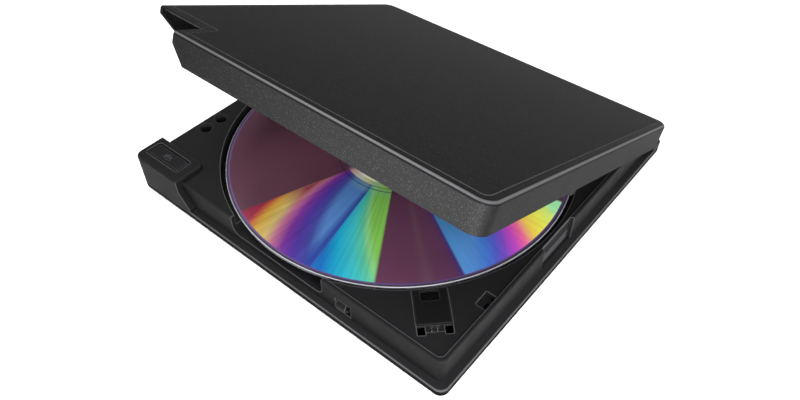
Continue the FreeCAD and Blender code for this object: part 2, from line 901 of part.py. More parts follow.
def rear_cuts():
    rear = slab(-lid_in + lid_corner, lid_in - lid_corner, lid_in - 1, half + 1, 0, rear_skirt_bottom)
    corners = side_plate(((rear_slant_start, 0), (half + 1, 0), (half + 1, rear_skirt_bottom),
                          (half, rear_skirt_bottom), (rear_slant_start, skirt_bottom)), -half - 1, half + 1)
    port = slab(port_x - port_width / 2 - port_side, port_x + port_width / 2 + port_side,
                lid_in - 1, half + 1, 0, port_notch_top)
    return [rear, corners, port]


def pin_holes():
    reach = lid_in + pin_seat
    return [cross_pin(lid_in - lid_boss_length, reach, hinge_y, hinge_z, pin_radius + press_gap),
            cross_pin(-reach, -lid_in + lid_boss_length, hinge_y, hinge_z, pin_radius + press_gap)]


def panel_solid(gap):
    side = half - panel_inset + gap
    bottom = closed_height - panel_thickness
    panel = rounded_square(side, bottom, closed_height, panel_corner)
    x = notch_x + panel_inset - gap
    y = notch_y + panel_inset - gap
    corner = slab(-half - 1, x, -half - 1, y, 0, closed_height + 1)
    return panel.cut(corner.makeFillet(notch_corner, edges_near(corner, x, y)))


def lid_top_panel():
    return bevel_at(panel_solid(0), closed_height, panel_chamfer)


def lid_liner():
    side = lid_in - press_gap
    corner = lid_corner - lid_rim
    tray = rounded_square(side, liner_skirt_bottom, plate_bottom, corner)
    tray = tray.cut(rounded_square(side - liner, liner_skirt_bottom, liner_bottom, corner - liner))
    rear = slab(-half, half, liner_end, half, 0, closed_height)
    latch_room = slab(latch_left - wall, latch_left + latch_width + latch_travel + wall, -half,
                      -lid_in + wall, 0, liner_bottom)
    tray = tray.cut([rear, latch_room] + notch_cuts(liner))
    x, y = switch_place()
    post = drum(x, y, post_bottom, liner_bottom, post_radius)
    guide = slab(guide_hole_x - guide_hole_width / 2 + guide_play, guide_hole_x + guide_hole_width / 2
                 - guide_play, guide_hole_y - guide_hole_length / 2 + guide_play,
                 guide_hole_y + guide_hole_length / 2 - guide_play,
                 low_deck_top - guide_reach, liner_bottom)
    return whole([tray, post, guide])


# Hinge
def hinge_pins():
    reach = lid_in + pin_seat
    start = wall_in - hinge_boss_length - pin_inner_reach
    return Part.makeCompound([cross_pin(start, reach, hinge_y, hinge_z, pin_radius),
                              cross_pin(-reach, -start, hinge_y, hinge_z, pin_radius)])


def hinge_bushes():
    start = wall_in - hinge_boss_length
    bushes = []
    for low, high in ((start, wall_out), (-wall_out, -start)):
        outer = cross_pin(low, high, hinge_y, hinge_z, bush_radius)
        bushes.append(outer.cut(cross_pin(low, high, hinge_y, hinge_z, pin_radius + running_gap)))
    return Part.makeCompound(bushes)


# Corner plate, contacts and lid switch
def switch_place():
    return traverse_point(plate_hole_u + plate_hole_length / 2, plate_hole_v + plate_hole_width / 2)


def corner_cover():
    top = low_deck_top + plate_raised
    cover = slab(plate_start, plate_end, plate_low, plate_high, top - plate_thickness, top)
    cover = bevel_at(cover, top, panel_chamfer)
    hole = slab(plate_hole_u, plate_hole_u + plate_hole_length, plate_hole_v,
                plate_hole_v + plate_hole_width, 0, closed_height)
    return traverse(cover.cut(hole))


def switch_contacts():
    low = low_deck_top - groove_depth
    contacts = []
    for u, v in contact_places():
        leg = drum(u, v, low_ceiling, low, contact_radius)
        blade = slab(u - contact_width / 2, u - contact_width / 2 + contact_reach, v - contact_width / 2,
                     v + contact_width / 2, low, low + contact_height)
        contacts.append(traverse(whole([blade, leg])))
    return Part.makeCompound(contacts)


def lid_switch_body():
    top = low_deck_top + plate_raised - plate_thickness - part_gap
    body = slab(plate_hole_u - switch_margin, plate_hole_u + plate_hole_length + switch_margin,
                plate_hole_v - switch_margin, plate_hole_v + plate_hole_width + switch_margin,
                low_ceiling - switch_height + part_gap, top)
    x, y = switch_place()
    return traverse(body).cut(drum(x, y, plunger_bottom - plunger_travel - part_gap, closed_height,
                                   plunger_radius + running_gap))


def lid_switch_plunger():
    x, y = switch_place()
    plunger = drum(x, y, plunger_bottom, plunger_top, plunger_radius)
    return round_at(plunger, plunger_top, plunger_radius / 4)


# Traverse chassis and its rubber mounts
def chassis_holders():
    holders = []
    rods = ((main_rod_v, (main_rod_start, main_rod_end - rod_holder)),
            (plain_rod_v, (plain_rod_start, plain_rod_end - rod_holder)))
    for v, starts in rods:
        for start in starts:
            holders.append(slab(start, start + rod_holder, v - rod_holder_side, v + rod_holder_side,
                                chassis_bottom - rod_holder_drop, chassis_bottom))
    holders.append(slab(lead_start - stepper_bracket, lead_start, screw_v - bracket_side,
                        screw_v + bracket_side, screw_z - lead_bearing_side, chassis_bottom))
    holders.append(slab(lead_end - lead_bearing, lead_end, screw_v - lead_bearing_side,
                        screw_v + lead_bearing_side, screw_z - lead_bearing_side, chassis_bottom))
    return holders


def chassis_outline():
    near = side_mount_u - mount_ear
    far = side_mount_u + mount_ear
    right, left = side_mounts
    right_ear = ((near - mount_ear_flare, chassis_back[-1][1]), (near, right - mount_ear),
                 (far, right - mount_ear), (far + mount_ear_flare, -chassis_side))
    left_ear = ((far + mount_ear_flare, chassis_back[0][1]), (far, left + mount_ear),
                (near, left + mount_ear), (near - mount_ear_flare, chassis_back[0][1]))
    end = tuple((chassis_end + u, v) for u, v in chassis_far)
    return right_ear + end + left_ear + chassis_back


def traverse_chassis():
    sheet = outline_plate(chassis_outline(), chassis_bottom, chassis_top)
    sheet = round_upright(sheet, wall)
    window = slab(chassis_window_start, chassis_window_end, -chassis_window_half, chassis_window_half,
                  chassis_bottom, chassis_top)
    cuts = [drum(0, 0, chassis_bottom, chassis_top, chassis_motor_hole), window]
    cuts += [drum(u, v, chassis_bottom, chassis_top, grommet_neck + running_gap) for u, v in grommets]
    sheet = whole([sheet.cut(cuts)] + chassis_holders())
    bores = [cross_pin(main_rod_start, main_rod_end, main_rod_v, rod_z, main_rod_radius + press_gap),
             cross_pin(plain_rod_start, plain_rod_end, plain_rod_v, rod_z, plain_rod_radius + press_gap),
             cross_pin(0, lead_end, screw_v, screw_z, lead_radius + running_gap)]
    return traverse(sheet.cut(bores))


def chassis_grommets():
    spools = []
    for u, v in grommets:
        top = pocket_floor_bottom
        spool = ring(u, v, mount_bottom, top, grommet_neck, mount_boss + running_gap)
        low = ring(u, v, mount_bottom, chassis_bottom, grommet_radius, mount_boss + running_gap)
        high = ring(u, v, chassis_top, top, grommet_radius, mount_boss + running_gap)
        spools.append(traverse(whole([spool, low, high])))
    return Part.makeCompound(spools)


def chassis_screws():
    screws = []
    for u, v in grommets:
        head = drum(u, v, mount_bottom - mount_screw_head_height, mount_bottom, mount_screw_head)
        shank = drum(u, v, mount_bottom, mount_bottom + mount_screw_depth - part_gap,
                     mount_screw - press_gap)
        slot = drum(u, v, mount_bottom - mount_screw_head_height, mount_bottom - stack_ring_height,
                    mount_screw)
        screws.append(traverse(whole([head, shank]).cut(slot)))
    return Part.makeCompound(screws)


# Spindle motor
def motor_base():
    top = motor_plate_bottom + motor_plate
    disc_part = drum(0, 0, motor_plate_bottom, top, motor_plate_radius)
    ears = drum(0, 0, motor_plate_bottom, top, motor_ear_radius)
    ears = ears.common(slab(-motor_ear_radius, motor_ear_edge, -motor_ear_radius, motor_ear_radius, 0,
                            closed_height))
    posts = []
    for angle in pillar_angles:
        u = pillar_distance * math.cos(math.radians(angle))
        v = pillar_distance * math.sin(math.radians(angle))
        posts.append(drum(u, v, top, chassis_bottom, pillar_radius))
    sleeve = drum(0, 0, top, rotor_top - rotor_wall - part_gap, sleeve_radius)
    base = whole([disc_part, ears, sleeve] + posts)
    return traverse(base.cut(drum(0, 0, top - motor_plate / 2, closed_height, shaft_radius + running_gap)))


def motor_stator():
    top = stator_bottom + stator_height
    core = drum(0, 0, stator_bottom, top, stator_core)
    teeth = []
    for index in range(stator_teeth):
        tooth = slab(0, stator_radius, -tooth_width / 2, tooth_width / 2, stator_bottom, top)
        shoe = slab(stator_radius - tooth_tip_depth, stator_radius, -tooth_tip / 2, tooth_tip / 2,
                    stator_bottom, top)
        limb = whole([tooth, shoe])
        limb.rotate(point(0, 0), point(0, 0, 1), index * 360.0 / stator_teeth)
        teeth.append(limb)
    edge = drum(0, 0, stator_bottom, top, stator_radius - moving_gap)
    stator = whole([core] + teeth).common(edge)
    return traverse(stator.cut(drum(0, 0, stator_bottom, top, sleeve_radius + press_gap)))


def motor_rotor():
    can = drum(0, 0, rotor_bottom, rotor_top, rotor_radius)
    can = round_at(can, rotor_top, rotor_wall / 2)
    can = can.cut(drum(0, 0, rotor_bottom, rotor_top - rotor_wall, rotor_radius - rotor_wall))
    boss = drum(0, 0, rotor_top, turntable_bottom, rotor_boss)
    shaft = drum(0, 0, motor_plate_bottom + motor_plate - part_gap, turntable_bottom, shaft_radius)
    return traverse(whole([can, boss, shaft]))


# Turntable, mat and disc
def turntable():
    top = turntable_bottom + turntable_height
    hub_radius = disc_hole - hub_gap
    plate = drum(0, 0, turntable_bottom, top, turntable_radius)
    hub = drum(0, 0, top, hub_top, hub_radius)
    hub = bevel_at(hub, hub_top, hub_cone)
    parts = [plate, hub]
    for index in range(claw_count):
        claw = slab(0, hub_radius + claw_reach, -claw_width / 2, claw_width / 2, disc_top + press_gap,
                    disc_top + claw_height)
        claw.rotate(point(0, 0), point(0, 0, 1), index * 360.0 / claw_count)
        parts.append(claw)
    hollow = drum(0, 0, disc_top, hub_top, hub_radius - hub_cone * 2)
    return traverse(whole(parts).cut(hollow))


def turntable_mat():
    low = turntable_bottom + turntable_height
    return traverse(ring(0, 0, low, low + mat_height, mat_outer, mat_inner))


def disc():
    plate = ring(0, spindle_y, disc_bottom, disc_top, disc_radius, disc_hole)
    ridge = ring(0, spindle_y, disc_bottom - stack_ring_height, disc_bottom,
                 stack_ring_radius + stack_ring_width, stack_ring_radius)
    return whole([plate, ridge])


# Pickup with its rods
def guide_rod_main():
    return traverse(cross_pin(main_rod_start, main_rod_end, main_rod_v, rod_z, main_rod_radius))


def guide_rod_plain():
    return traverse(cross_pin(plain_rod_start, plain_rod_end, plain_rod_v, rod_z, plain_rod_radius))


def pickup_sled():
    tray = slab(sled_start, sled_start + sled_length, -sled_half, sled_half, sled_bottom, sled_top)
    tray = round_upright(tray, sled_corner)
    room = slab(sled_start + sled_wall * 2, sled_start + sled_length - sled_wall * 2,
                -sled_half + sled_wall * 3, sled_half - sled_wall * 3, 0, sled_top - sled_wall)
    bearing = slab(bearing_start, bearing_start + bearing_length, sled_half - sled_wall,
                   main_rod_v + bearing_side, bearing_bottom, sled_top)
    guide_side = plain_rod_radius + sled_wall
    fork = slab(bearing_start, bearing_start + guide_length, plain_rod_v - guide_side,
                -sled_half + sled_wall, rod_z - guide_side, sled_top)
    slot = slab(bearing_start, bearing_start + guide_length, plain_rod_v - guide_side,
                plain_rod_v + plain_rod_radius + moving_gap, rod_z - plain_rod_radius - running_gap,
                rod_z + plain_rod_radius + running_gap)
    bore = cross_pin(bearing_start, bearing_start + bearing_length, main_rod_v, rod_z,
                     main_rod_radius + running_gap)
    return traverse(whole([tray.cut(room), bearing, fork]).cut([slot, bore]))


def sled_nut():
    start_v = main_rod_v + bearing_side
    block = slab(nut_start, nut_start + nut_length, start_v, screw_v + nut_side, screw_z - nut_side,
                 screw_z + nut_side)
    bore = cross_pin(nut_start, nut_start + nut_length, screw_v, screw_z, lead_radius + running_gap)
    return traverse(block.cut(bore))


def actuator_yoke():
    end = yoke_start + yoke_length
    base = slab(yoke_start, end, -yoke_half, yoke_half, sled_top, sled_top + yoke_base)
    walls = [slab(yoke_start, yoke_start + yoke_sheet, -yoke_half, yoke_half, sled_top, yoke_top),
             slab(end - yoke_sheet, end, -yoke_half, yoke_half, sled_top, yoke_top)]
    return traverse(whole([base] + walls))


def lens_places():
    middle = yoke_start + yoke_length / 2
    return [middle - lens_pitch / 2, middle + lens_pitch / 2]


def lens_holder():
    middle = yoke_start + yoke_length / 2
    top = holder_bottom + holder_height
    block = slab(middle - holder_length / 2, middle + holder_length / 2, -holder_half, holder_half,
                 holder_bottom, top)
    block = round_upright(block, sled_wall)
    holes = [drum(u, 0, holder_bottom, top, lens_radius - part_gap) for u in lens_places()]
    seats = [drum(u, 0, top - lens_flange, top, lens_radius + press_gap) for u in lens_places()]
    return traverse(block.cut(holes + seats))


def objective_lenses():
    top = holder_bottom + holder_height
    lenses = []
    for u in lens_places():
        flange = drum(u, 0, top - lens_flange, top - lens_flange / 2, lens_radius)
        crown_radius = lens_radius - part_gap
        sphere_radius = (crown_radius ** 2 + lens_crown ** 2) / (2 * lens_crown)
        base = top - lens_flange / 2
        ball = Part.makeSphere(sphere_radius, point(u, 0, base + lens_crown - sphere_radius))
        crown = ball.common(drum(u, 0, base, base + lens_crown * 2, lens_radius))
        lenses.append(traverse(whole([flange, crown])))
    return Part.makeCompound(lenses)


# Sled drive
def lead_screw():
    return traverse(cross_pin(lead_start - stepper_bracket - moving_gap, lead_end, screw_v, screw_z,
                              lead_radius))


def stepper_motor():
    end = lead_start - stepper_bracket
    can = cross_pin(end - stepper_length, end, screw_v, screw_z, stepper_radius)
    flat = slab(end - stepper_length, end, screw_v - stepper_radius, screw_v + stepper_radius,
                screw_z - stepper_height / 2, screw_z + stepper_height / 2)
    hole = cross_pin(end - stepper_bracket, end, screw_v, screw_z, lead_radius + running_gap)
    return traverse(can.common(flat).cut(hole))


# Main board and what it carries
def main_board():
    board = outline_plate(board_outline, board_bottom, board_top)
    return board.cut([drum(x, y, board_bottom, board_top, board_screw_hole) for x, y in board_screws])


def board_chips():
    blocks = []
    for row, start in ((side_chips, board_left), (back_chips, 0)):
        for x, y, width, length, height in row:
            low_x = start + x - width / 2
            low_y = board_back + y - length / 2
            blocks.append(slab(low_x, low_x + width, low_y, low_y + length, board_top, board_top + height))
    return Part.makeCompound(blocks)


def board_screw(x, y):
    head = drum(x, y, board_top, board_top + screw_head_height, screw_head)
    shank = drum(x, y, floor_top, board_top, screw_radius - press_gap * 2)
    slot = drum(x, y, board_top + label_depth, board_top + screw_head_height, screw_radius / 2)
    return whole([head, shank]).cut(slot)


def usb_receptacle():
    left = port_x - port_width / 2
    right = port_x + port_width / 2
    top = board_top + port_height
    start = wall_out - port_length
    shell = round_at_back(slab(left, right, start, wall_out, board_top, top))
    room = slab(left + port_shell, right - port_shell, start + port_tongue * 2, wall_out,
                board_top + port_shell, top - port_shell)
    middle = (board_top + top) / 2
    tongue = slab(left + port_shell * 4, right - port_shell * 4, start, wall_out - port_shell * 2,
                  middle - port_tongue / 2, middle + port_tongue / 2)
    return whole([shell.cut(room), tongue])


def round_at_back(shape):
    edges = []
    for edge in shape.Edges:
        box = edge.BoundBox
        if box.XLength + box.ZLength < 0.001:
            edges.append(edge)
    return shape.makeFillet(port_shell, edges)


def motor_flex():
    low = motor_plate_bottom + motor_plate
    half_width = ribbon_width / 2
    corners = ((ribbon_start, low), (ribbon_bend, low), (ribbon_rise, board_top),
               (ribbon_end, board_top), (ribbon_end, board_top + ribbon),
               (ribbon_rise, board_top + ribbon), (ribbon_bend, low + ribbon), (ribbon_start, low + ribbon))
    return traverse(front_plate(corners, -half_width, half_width))


def screws(maker, places):
    return Part.makeCompound([maker(x, y) for x, y in places])


fixed_pieces = (
    ("bottom_cover", bottom_cover()),
    ("rubber_feet", rubber_feet()),
    ("case_screws", screws(case_screw, case_screws)),
    ("deck_screws", screws(deck_screw, deck_screws)),
    ("base_frame", base_frame()),
    ("open_button", open_button()),
    ("button_spring", button_spring()),
    ("latch_slider", latch_slider()),
    ("hinge_bushes", hinge_bushes()),
    ("corner_cover", corner_cover()),
    ("switch_contacts", switch_contacts()),
    ("lid_switch_body", lid_switch_body()),
    ("lid_switch_plunger", lid_switch_plunger()),
    ("traverse_chassis", traverse_chassis()),
    ("chassis_grommets", chassis_grommets()),
    ("chassis_screws", chassis_screws()),
    ("motor_base", motor_base()),
    ("motor_stator", motor_stator()),
    ("motor_rotor", motor_rotor()),
    ("turntable", turntable()),
    ("turntable_mat", turntable_mat()),
    ("disc", disc()),
    ("guide_rod_main", guide_rod_main()),
    ("guide_rod_plain", guide_rod_plain()),
    ("pickup_sled", pickup_sled()),
    ("sled_nut", sled_nut()),
    ("actuator_yoke", actuator_yoke()),
    ("lens_holder", lens_holder()),
    ("objective_lenses", objective_lenses()),
    ("lead_screw", lead_screw()),
    ("stepper_motor", stepper_motor()),
    ("main_board", main_board()),
    ("board_chips", board_chips()),
    ("board_screws", screws(board_screw, board_screws)),
    ("usb_receptacle", usb_receptacle()),
    ("motor_flex", motor_flex()),
)
lid_pieces = (
    ("lid_shell", lid_shell()),
    ("lid_top_panel", lid_top_panel()),
    ("lid_liner", lid_liner()),
    ("hinge_pins", hinge_pins()),
)
os.makedirs("parts", exist_ok=True)
for name, shape in fixed_pieces:
    write(name, shape)
for name, shape in lid_pieces:
    write(name, lifted(shape))
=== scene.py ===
import math

import bpy
from mathutils import Matrix, Vector


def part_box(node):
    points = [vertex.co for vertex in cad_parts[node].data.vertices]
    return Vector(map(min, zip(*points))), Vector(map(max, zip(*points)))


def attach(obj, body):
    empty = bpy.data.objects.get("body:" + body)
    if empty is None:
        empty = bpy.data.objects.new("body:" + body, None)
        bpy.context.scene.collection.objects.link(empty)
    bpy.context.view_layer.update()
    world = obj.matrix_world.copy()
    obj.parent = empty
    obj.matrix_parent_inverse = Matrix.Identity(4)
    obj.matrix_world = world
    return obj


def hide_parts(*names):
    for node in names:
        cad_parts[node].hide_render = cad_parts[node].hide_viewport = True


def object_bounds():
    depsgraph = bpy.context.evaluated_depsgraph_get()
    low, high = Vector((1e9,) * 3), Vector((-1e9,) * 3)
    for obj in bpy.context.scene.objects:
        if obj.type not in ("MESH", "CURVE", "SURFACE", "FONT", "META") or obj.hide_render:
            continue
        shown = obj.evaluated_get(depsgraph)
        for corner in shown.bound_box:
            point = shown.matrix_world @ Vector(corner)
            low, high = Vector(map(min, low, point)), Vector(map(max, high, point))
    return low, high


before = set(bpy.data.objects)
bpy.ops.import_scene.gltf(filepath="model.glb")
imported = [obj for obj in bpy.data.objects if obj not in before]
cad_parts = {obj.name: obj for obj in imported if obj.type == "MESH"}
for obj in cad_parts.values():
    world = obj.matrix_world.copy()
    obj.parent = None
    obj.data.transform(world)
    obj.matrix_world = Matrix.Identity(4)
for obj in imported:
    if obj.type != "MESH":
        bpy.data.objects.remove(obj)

bl_info = {
    "name": "Clamshell Disc Drive",
    "version": (1, 0, 0),
    "blender": (4, 5, 0),
    "location": "View3D > Sidebar > Disc Drive",
    "description": "Dresses a slim top-loading disc drive and sets its studio",
    "category": "Object",
}

LOADED_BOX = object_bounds()
DISC_LOW, DISC_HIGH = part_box("disc")
SPINDLE = ((DISC_LOW + DISC_HIGH) / 2).to_2d()
DISC_MIDDLE = (DISC_LOW.z + DISC_HIGH.z) / 2
MM = 0.001
LID_ANGLE = math.radians(24)
LID_UP = (0.0, math.sin(LID_ANGLE), math.cos(LID_ANGLE))
SMOOTH_ANGLE = math.radians(30)
MERGE_DISTANCE = 0.001 * MM
EDGE_SAMPLES = 6


class DriveCase(bpy.types.PropertyGroup):
    colour: bpy.props.FloatVectorProperty(
        name="Case", description="Colour of the moulded case", subtype="COLOR", size=3,
        default=(0.0105, 0.0105, 0.0112))
    liner_colour: bpy.props.FloatVectorProperty(
        name="Liner", description="Colour of the polished parts", subtype="COLOR", size=3,
        default=(0.005, 0.005, 0.0055))
    grain: bpy.props.FloatProperty(
        name="Grain", description="Size of the moulded grain", subtype="DISTANCE", default=0.25 * MM)
    edge: bpy.props.FloatProperty(
        name="Edge", description="Rounding of the moulded edges", subtype="DISTANCE", default=0.22 * MM)
    edge_width: bpy.props.FloatProperty(
        name="Edge Width", description="Width of the polish along the edges", subtype="DISTANCE",
        default=0.35 * MM)
    edge_highlight_colour: bpy.props.FloatVectorProperty(
        name="Edge Polish", description="Colour of the polish along the edges", subtype="COLOR", size=3,
        default=(0.09, 0.09, 0.094))


class DriveLid(bpy.types.PropertyGroup):
    colour: bpy.props.FloatVectorProperty(
        name="Lacquer", description="Colour of the lid's lacquer", subtype="COLOR", size=3,
        default=(0.0085, 0.0085, 0.0090))
    skirt_colour: bpy.props.FloatVectorProperty(
        name="Skirt", description="Colour of the lid's sides", subtype="COLOR", size=3,
        default=(0.036, 0.036, 0.0365))
    flake_colour: bpy.props.FloatVectorProperty(
        name="Flake", description="Colour of the metal flake", subtype="COLOR", size=3,
        default=(0.155, 0.155, 0.158))
    chamfer_highlight_colour: bpy.props.FloatVectorProperty(
        name="Chamfer", description="Colour of the top plate's chamfer", subtype="COLOR", size=3,
        default=(0.14, 0.14, 0.142))
    chamfer_width: bpy.props.FloatProperty(
        name="Chamfer Width", description="Width of the top plate's chamfer", subtype="DISTANCE",
        default=0.25 * MM)
    flake_size: bpy.props.FloatProperty(
        name="Flake Size", description="Width of one flake", subtype="DISTANCE", default=0.13 * MM)
    edge: bpy.props.FloatProperty(
        name="Edge", description="Rounding of the lid's edges", subtype="DISTANCE", default=0.25 * MM)
    edge_highlight_colour: bpy.props.FloatVectorProperty(
        name="Edge Polish", description="Colour of the polish along the edges", subtype="COLOR", size=3,
        default=(0.095, 0.095, 0.098))


class DriveDisc(bpy.types.PropertyGroup):
    colour: bpy.props.FloatVectorProperty(
        name="Layer", description="Colour of the recording layer", subtype="COLOR", size=3,
        default=(0.153, 0.058, 0.091))
    lean: bpy.props.FloatProperty(
        name="Lean", description="Turn of the colour bands from rim to hub, in degrees per millimetre",
        default=0.55)


class DriveStudio(bpy.types.PropertyGroup):
    camera_place: bpy.props.FloatVectorProperty(
        name="Camera", description="Place of the camera", subtype="TRANSLATION", size=3,
        default=(0.119825, -0.147910, 0.176820))
    camera_yaw: bpy.props.FloatProperty(
        name="Yaw", description="Turn of the view from +Y towards +X", subtype="ANGLE",
        default=math.radians(-39.837))
    camera_pitch: bpy.props.FloatProperty(
        name="Pitch", description="Tilt of the view below the horizon", subtype="ANGLE",
        default=math.radians(45.495))
    camera_roll: bpy.props.FloatProperty(
        name="Roll", description="Roll of the view", subtype="ANGLE", default=math.radians(-0.282))
    camera_lens: bpy.props.FloatProperty(
        name="Lens", description="Focal length in millimetres for a 36 mm frame", default=32.0)
    floor_colour: bpy.props.FloatVectorProperty(
        name="Floor", description="Colour of the floor", subtype="COLOR", size=3,
        default=(0.86, 0.86, 0.86))
    floor_glow: bpy.props.FloatProperty(
        name="Floor Glow", description="White that the floor shows on top of the light it takes",
        default=0.35)
    sky: bpy.props.FloatProperty(
        name="Sky", description="Strength of the light from all round", default=0.35)
    ceiling: bpy.props.FloatProperty(
        name="Ceiling", description="Strength of the dim ceiling that glossy parts mirror", default=0.06)


def clear_selection():
    if bpy.context.object and bpy.context.object.mode != "OBJECT":
        bpy.ops.object.mode_set(mode="OBJECT")
    bpy.ops.object.select_all(action="DESELECT")


def settings():
    return bpy.context.scene


class Shades:
    """The node tree of a material or sky, with short calls for the nodes that this drive needs."""

    def __init__(self, name, owner="materials", output="ShaderNodeOutputMaterial"):
        self.material = getattr(bpy.data, owner).new(name)
        self.material.use_nodes = True
        self.tree = self.material.node_tree
        self.tree.nodes.clear()
        self.output = self.node(output)

    def node(self, kind, **values):
        made = self.tree.nodes.new(kind)
        for key, value in values.items():
            setattr(made, key, value)
        return made

    def link(self, source, target):
        self.tree.links.new(source, target)

    def place(self):
        return self.node("ShaderNodeTexCoord").outputs["Object"]

    def surface(self, colour, roughness, **sockets):
        shader = self.node("ShaderNodeBsdfPrincipled")
        shader.inputs["Base Color"].default_value = (*colour, 1.0)
        shader.inputs["Roughness"].default_value = roughness
        for name, value in sockets.items():
            shader.inputs[name.replace("_", " ")].default_value = value
        self.link(shader.outputs["BSDF"], self.output.inputs["Surface"])
        return shader

    def noise(self, size, detail=3.0):
        made = self.node("ShaderNodeTexNoise")
        made.inputs["Scale"].default_value = 1.0 / size
        made.inputs["Detail"].default_value = detail
        self.link(self.place(), made.inputs["Vector"])
        return made.outputs["Fac"]

    def feed(self, socket, value):
        if hasattr(value, "links"):
            self.link(value, socket)
        else:
            socket.default_value = value

    def spread(self, source, low, high, to_low, to_high):
        made = self.node("ShaderNodeMapRange")
        for name, value in zip(("Value", "From Min", "From Max", "To Min", "To Max"),
                               (source, low, high, to_low, to_high)):
            self.feed(made.inputs[name], value)
        return made.outputs["Result"]

    def fade(self, source, low, high, most=1.0):
        """0 up to low and the given most from high on; low may be the greater of the two."""
        return self.spread(source, low, high, 0.0, most)

    def combine(self, operation, *values):
        made = self.node("ShaderNodeMath", operation=operation)
        for socket, value in zip(made.inputs, values):
            self.feed(socket, value)
        return made.outputs["Value"]

    def times(self, first, *factors):
        for factor in factors:
            first = self.combine("MULTIPLY", first, factor)
        return first

    def minus(self, first, second):
        return self.combine("SUBTRACT", first, second)

    def parts(self, vector):
        made = self.node("ShaderNodeSeparateXYZ")
        self.link(vector, made.inputs["Vector"])
        return made.outputs

    def ramp(self, source, stops, ease="LINEAR"):
        made = self.node("ShaderNodeValToRGB")
        made.color_ramp.interpolation = ease
        points = made.color_ramp.elements
        while len(points) < len(stops):
            points.new(0.5)
        for point, (position, colour) in zip(points, stops):
            point.position = position
            point.color = (*colour, 1.0)
        self.link(source, made.inputs["Fac"])
        return made.outputs["Color"]

    def blend(self, factor, first, second):
        made = self.node("ShaderNodeMix", data_type="RGBA")
        self.feed(made.inputs[0], factor)
        for socket, value in ((made.inputs[6], first), (made.inputs[7], second)):
            self.feed(socket, value if hasattr(value, "links") else (*value, 1.0))
        return made.outputs[2]

    def edges(self, width):
        """1 along the outer edges of a solid, fading to 0 at the given width from them."""
        depth = self.node("ShaderNodeAmbientOcclusion", inside=True, only_local=True,
                          samples=EDGE_SAMPLES)
        depth.inputs["Distance"].default_value = width
        return self.fade(depth.outputs["AO"], 0.93, 0.62)

    def rounded(self, shader, radius, height=None, strength=0.0, distance=0.0):
        edge = self.node("ShaderNodeBevel", samples=EDGE_SAMPLES)
        edge.inputs["Radius"].default_value = radius
        normal = edge.outputs["Normal"]
        if height is not None:
            bump = self.node("ShaderNodeBump")
            bump.inputs["Strength"].default_value = strength
            bump.inputs["Distance"].default_value = distance
            self.link(height, bump.inputs["Height"])
            self.link(normal, bump.inputs["Normal"])
            normal = bump.outputs["Normal"]
        self.link(normal, shader.inputs["Normal"])


def moulded_black(name, roughness=0.5, lift=1.0, gloss=0.04, highlight=1.0):
    """Grained black plastic: lift scales its colour; the last argument scales the painted highlight along
    its edges.
    """
    look = settings().drive_case
    shades = Shades(name)
    colour = [value * lift for value in look.colour]
    # The colour named polished is a painted highlight along the edges.
    polished = [value * highlight for value in look.edge_highlight_colour]
    shader = shades.surface(colour, roughness, Specular_IOR_Level=gloss)
    cloud = shades.noise(9 * MM)
    shades.link(shades.spread(cloud, 0.3, 0.7, roughness - 0.05, roughness + 0.05),
                shader.inputs["Roughness"])
    shades.link(shades.blend(shades.edges(look.edge_width), colour, polished),
                shader.inputs["Base Color"])
    shades.rounded(shader, look.edge, shades.noise(look.grain, detail=4.0), strength=0.22,
                   distance=0.02 * MM)
    return shades.material


FLAKE_METAL = 0.7
ROUNDING_METAL = 0.35
# Cosines of the lean from the lid's up direction, between which one colour gives way to the next: the
# dark top, then the painted highlight on the rounding.
TOP_BEGINS = (0.05, 0.35)
ROUNDING_BEGINS = (0.42, 0.62)
ROUNDING_ENDS = (0.94, 0.84)
# Share of the surface's direction that runs along X, where the painted shade on the ends begins.
ENDS_BEGIN = (0.45, 0.92)
# From this place along X to that one, the skirt is darkened to look like the photo's light.
DARKENING_ALONG = (20 * MM, -66 * MM)


def flaked(shades, ground, coverage, strength):
    """Metal flakes over the given share of the ground: the colour, the metal and the flakes' tilt."""
    look = settings().drive_lid
    cells = shades.node("ShaderNodeTexVoronoi", feature="F1")
    cells.inputs["Scale"].default_value = 1.0 / look.flake_size
    shades.link(shades.place(), cells.inputs["Vector"])
    chance = shades.node("ShaderNodeSeparateColor")
    shades.link(cells.outputs["Color"], chance.inputs["Color"])
    flakes = shades.fade(chance.outputs["Red"], 1.0 - coverage, 1.0, strength)
    colour = shades.blend(flakes, ground, look.flake_colour)
    return colour, shades.fade(flakes, 0.0, 1.0, FLAKE_METAL), chance.outputs["Green"]


def lacquered(shades, shader, colour, metal_share, tilt):
    shades.link(colour, shader.inputs["Base Color"])
    shades.link(metal_share, shader.inputs["Metallic"])
    shades.rounded(shader, settings().drive_lid.edge, tilt, strength=0.3, distance=0.012 * MM)
    return shades.material


